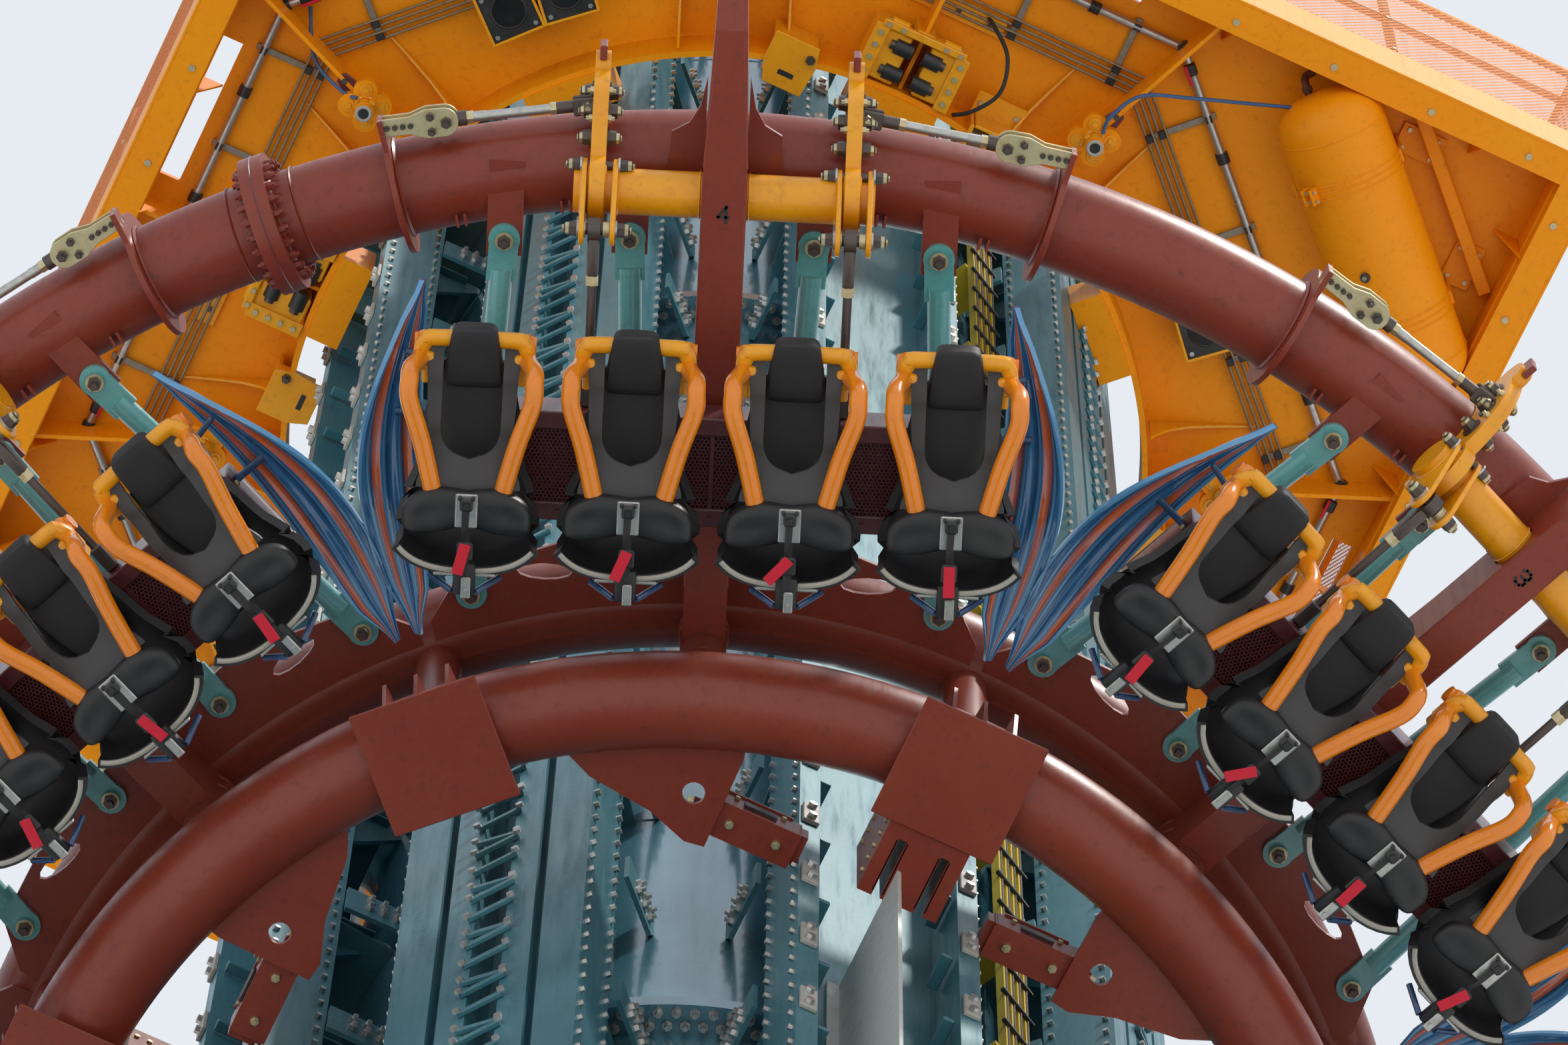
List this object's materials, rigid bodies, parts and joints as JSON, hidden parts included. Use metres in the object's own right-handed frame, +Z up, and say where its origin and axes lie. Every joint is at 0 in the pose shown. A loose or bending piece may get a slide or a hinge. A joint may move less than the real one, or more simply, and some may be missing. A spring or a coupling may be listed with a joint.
{
  "type": "drop tower ride",
  "caption": "Round gondola whose seat rows tilt face down, hung on a steel tower with brake columns and a square catch car above it.",
  "frame": {"origin": "on the ground at the tower's axis, middle of the underside of the base plate", "axes": "+Z up along the tower, -Y towards the front seat row, +X to its right seen from outside"},
  "size_m": [11.1, 11.1, 30.3083],
  "materials": {
    "shaft_paint": "gloss",
    "rail_paint": "satin",
    "frame_paint": "satin, weathered",
    "row_paint": "satin",
    "car_paint": "satin, weathered",
    "skirt_paint": "satin",
    "bracket_paint": "satin",
    "strut_paint": "satin",
    "fin_steel": "satin",
    "bar_plastic": "gloss",
    "seat_plastic": "satin",
    "restraint_paint": "gloss",
    "blade_plastic": "gloss",
    "lamp_black": "satin"
  },
  "bodies": {
    "tower": {"base": "rail_paint", "tower_shaft": "shaft_paint", "guide_rails": "rail_paint", "brake_fins": "fin_steel", "conductor_bars": "bar_plastic", "tower_head": "shaft_paint"},
    "catch_car": {"car_deck": "car_paint", "car_skirt": "skirt_paint", "air_tanks": "car_paint", "car_couplers": "car_paint", "car_guides": "car_paint", "floodlights": "lamp_black"},
    "gondola": {"upper_ring": "frame_paint", "spider_frame": "frame_paint", "lower_ring": "frame_paint", "brake_shoes": "frame_paint", "struts": "strut_paint", "tilt_brackets": "bracket_paint"},
    "row_1": {"row_frame_1": "row_paint", "seats_1": "seat_plastic", "fins_1": "blade_plastic"},
    "restraint_1": {"restraints_1": "restraint_paint"},
    "row_2": {"row_frame_2": "row_paint", "seats_2": "seat_plastic", "fins_2": "blade_plastic"},
    "restraint_2": {"restraints_2": "restraint_paint"},
    "row_3": {"row_frame_3": "row_paint", "seats_3": "seat_plastic", "fins_3": "blade_plastic"},
    "restraint_3": {"restraints_3": "restraint_paint"},
    "row_4": {"row_frame_4": "row_paint", "seats_4": "seat_plastic", "fins_4": "blade_plastic"},
    "restraint_4": {"restraints_4": "restraint_paint"},
    "row_5": {"row_frame_5": "row_paint", "seats_5": "seat_plastic", "fins_5": "blade_plastic"},
    "restraint_5": {"restraints_5": "restraint_paint"},
    "row_6": {"row_frame_6": "row_paint", "seats_6": "seat_plastic", "fins_6": "blade_plastic"},
    "restraint_6": {"restraints_6": "restraint_paint"},
    "row_7": {"row_frame_7": "row_paint", "seats_7": "seat_plastic", "fins_7": "blade_plastic"},
    "restraint_7": {"restraints_7": "restraint_paint"},
    "row_8": {"row_frame_8": "row_paint", "seats_8": "seat_plastic", "fins_8": "blade_plastic"},
    "restraint_8": {"restraints_8": "restraint_paint"}
  },
  "joints": [
    {"name": "gondola_slide", "type": "slide", "parent": "tower", "child": "gondola", "axis": [0, 0, 1], "range_m": [-8.3, 10.2]},
    {"name": "catch_car_slide", "type": "slide", "parent": "tower", "child": "catch_car", "axis": [0, 0, 1], "range_m": [0, 4.5]},
    {"name": "row_tilt_1", "type": "hinge", "parent": "gondola", "child": "row_1", "pos_m": [3.21734, 3.21734, 10.94], "axis": [0.7071, -0.7071, 0], "range_deg": [0, 90]},
    {"name": "restraint_open_1", "type": "hinge", "parent": "row_1", "child": "restraint_1", "pos_m": [2.86025, 2.86025, 10.52], "axis": [0.7071, -0.7071, 0], "range_deg": [0, 75]},
    {"name": "row_tilt_2", "type": "hinge", "parent": "gondola", "child": "row_2", "pos_m": [4.55, 0, 10.94], "axis": [0, -1, 0], "range_deg": [0, 90]},
    {"name": "restraint_open_2", "type": "hinge", "parent": "row_2", "child": "restraint_2", "pos_m": [4.045, 0, 10.52], "axis": [0, -1, 0], "range_deg": [0, 75]},
    {"name": "row_tilt_3", "type": "hinge", "parent": "gondola", "child": "row_3", "pos_m": [3.21734, -3.21734, 10.94], "axis": [-0.7071, -0.7071, 0], "range_deg": [0, 90]},
    {"name": "restraint_open_3", "type": "hinge", "parent": "row_3", "child": "restraint_3", "pos_m": [2.86025, -2.86025, 10.52], "axis": [-0.7071, -0.7071, 0], "range_deg": [0, 75]},
    {"name": "row_tilt_4", "type": "hinge", "parent": "gondola", "child": "row_4", "pos_m": [0, -4.55, 10.94], "axis": [-1, 0, 0], "range_deg": [0, 90]},
    {"name": "restraint_open_4", "type": "hinge", "parent": "row_4", "child": "restraint_4", "pos_m": [0, -4.045, 10.52], "axis": [-1, 0, 0], "range_deg": [0, 75]},
    {"name": "row_tilt_5", "type": "hinge", "parent": "gondola", "child": "row_5", "pos_m": [-3.21734, -3.21734, 10.94], "axis": [-0.7071, 0.7071, 0], "range_deg": [0, 90]},
    {"name": "restraint_open_5", "type": "hinge", "parent": "row_5", "child": "restraint_5", "pos_m": [-2.86025, -2.86025, 10.52], "axis": [-0.7071, 0.7071, 0], "range_deg": [0, 75]},
    {"name": "row_tilt_6", "type": "hinge", "parent": "gondola", "child": "row_6", "pos_m": [-4.55, 0, 10.94], "axis": [0, 1, 0], "range_deg": [0, 90]},
    {"name": "restraint_open_6", "type": "hinge", "parent": "row_6", "child": "restraint_6", "pos_m": [-4.045, 0, 10.52], "axis": [0, 1, 0], "range_deg": [0, 75]},
    {"name": "row_tilt_7", "type": "hinge", "parent": "gondola", "child": "row_7", "pos_m": [-3.21734, 3.21734, 10.94], "axis": [0.7071, 0.7071, 0], "range_deg": [0, 90]},
    {"name": "restraint_open_7", "type": "hinge", "parent": "row_7", "child": "restraint_7", "pos_m": [-2.86025, 2.86025, 10.52], "axis": [0.7071, 0.7071, 0], "range_deg": [0, 75]},
    {"name": "row_tilt_8", "type": "hinge", "parent": "gondola", "child": "row_8", "pos_m": [0, 4.55, 10.94], "axis": [1, 0, 0], "range_deg": [0, 90]},
    {"name": "restraint_open_8", "type": "hinge", "parent": "row_8", "child": "restraint_8", "pos_m": [0, 4.045, 10.52], "axis": [1, 0, 0], "range_deg": [0, 75]}
  ],
  "couplings": [
    {"joint": "row_tilt_1", "follows": "row_tilt_4", "ratio": 1},
    {"joint": "restraint_open_1", "follows": "restraint_open_4", "ratio": 1},
    {"joint": "row_tilt_2", "follows": "row_tilt_4", "ratio": 1},
    {"joint": "restraint_open_2", "follows": "restraint_open_4", "ratio": 1},
    {"joint": "row_tilt_3", "follows": "row_tilt_4", "ratio": 1},
    {"joint": "restraint_open_3", "follows": "restraint_open_4", "ratio": 1},
    {"joint": "row_tilt_5", "follows": "row_tilt_4", "ratio": 1},
    {"joint": "restraint_open_5", "follows": "restraint_open_4", "ratio": 1},
    {"joint": "row_tilt_6", "follows": "row_tilt_4", "ratio": 1},
    {"joint": "restraint_open_6", "follows": "restraint_open_4", "ratio": 1},
    {"joint": "row_tilt_7", "follows": "row_tilt_4", "ratio": 1},
    {"joint": "restraint_open_7", "follows": "restraint_open_4", "ratio": 1},
    {"joint": "row_tilt_8", "follows": "row_tilt_4", "ratio": 1},
    {"joint": "restraint_open_8", "follows": "restraint_open_4", "ratio": 1}
  ]
}
